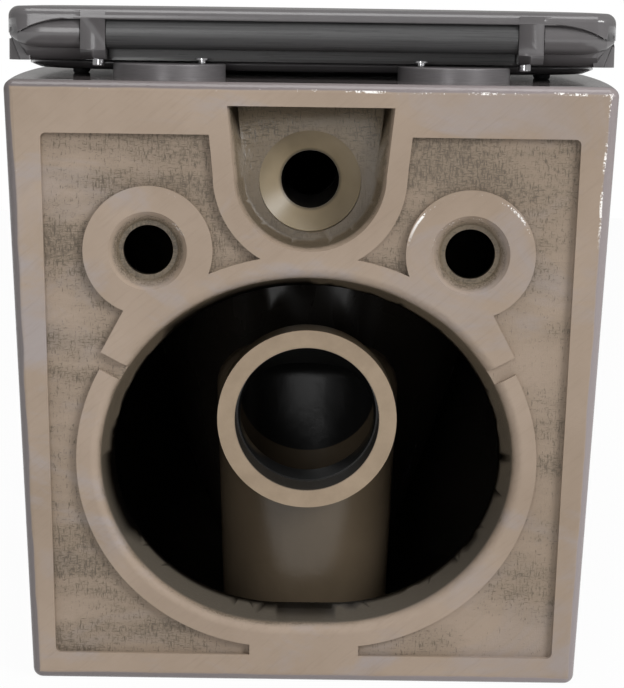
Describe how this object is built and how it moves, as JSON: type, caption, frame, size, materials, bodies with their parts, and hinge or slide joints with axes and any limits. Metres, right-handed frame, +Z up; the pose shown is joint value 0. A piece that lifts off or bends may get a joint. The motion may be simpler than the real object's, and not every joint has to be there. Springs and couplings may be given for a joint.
{
  "type": "wall-hung toilet",
  "caption": "Wall-hung ceramic toilet pan with an open rear, horizontal waste spigot, rear flush inlet and a soft-close seat and lid.",
  "frame": {"origin": "on the wall plane, midway between the two wall-fixing holes", "axes": "+Z up, +Y into the wall (the pan projects towards -Y), X across the pan"},
  "size_m": [0.362, 0.522, 0.38],
  "materials": {
    "ceramic": "gloss",
    "cover_plastic": "gloss",
    "seat_plastic": "gloss",
    "bar_plastic": "satin",
    "damper_plastic": "matte",
    "disc_metal": "satin",
    "steel": "brushed",
    "chrome": "polished",
    "brass": "satin",
    "rubber": "matte"
  },
  "bodies": {
    "pan": {"pan_rear_wall": "ceramic", "pan_shroud": "ceramic", "pan_rim": "ceramic", "pan_bowl": "ceramic", "pan_trapway": "ceramic", "pan_flush_channel": "ceramic", "fixing_cover_left": "cover_plastic", "fixing_cover_right": "cover_plastic", "hinge_plate_left": "steel", "hinge_plate_right": "steel", "disc_cover_left": "disc_metal", "disc_cover_right": "disc_metal", "hinge_post_left": "chrome", "hinge_post_right": "chrome", "hinge_bolt_left": "steel", "hinge_bolt_right": "steel", "hinge_sleeve_left": "rubber", "hinge_sleeve_right": "rubber", "hinge_cone_nut_left": "brass", "hinge_cone_nut_right": "brass", "hinge_bar": "bar_plastic", "lid_damper": "damper_plastic", "seat_damper": "damper_plastic"},
    "seat": {"seat_ring": "seat_plastic", "seat_shaft": "steel", "seat_buffer_rear_left": "rubber", "seat_buffer_rear_right": "rubber", "seat_buffer_front_left": "rubber", "seat_buffer_front_right": "rubber"},
    "lid": {"lid": "seat_plastic", "lid_shaft": "steel", "ear_screw_left": "chrome", "ear_screw_right": "chrome", "lid_buffer_rear_left": "rubber", "lid_buffer_rear_right": "rubber", "lid_buffer_front_left": "rubber", "lid_buffer_front_right": "rubber"}
  },
  "joints": [
    {"name": "seat_lift", "type": "hinge", "parent": "pan", "child": "seat", "pos_m": [0, -0.066, 0.1195], "axis": [-1, 0, 0], "range_deg": [0, 91]},
    {"name": "lid_open", "type": "hinge", "parent": "seat", "child": "lid", "pos_m": [0, -0.066, 0.1195], "axis": [-1, 0, 0], "range_deg": [0, 94]}
  ]
}
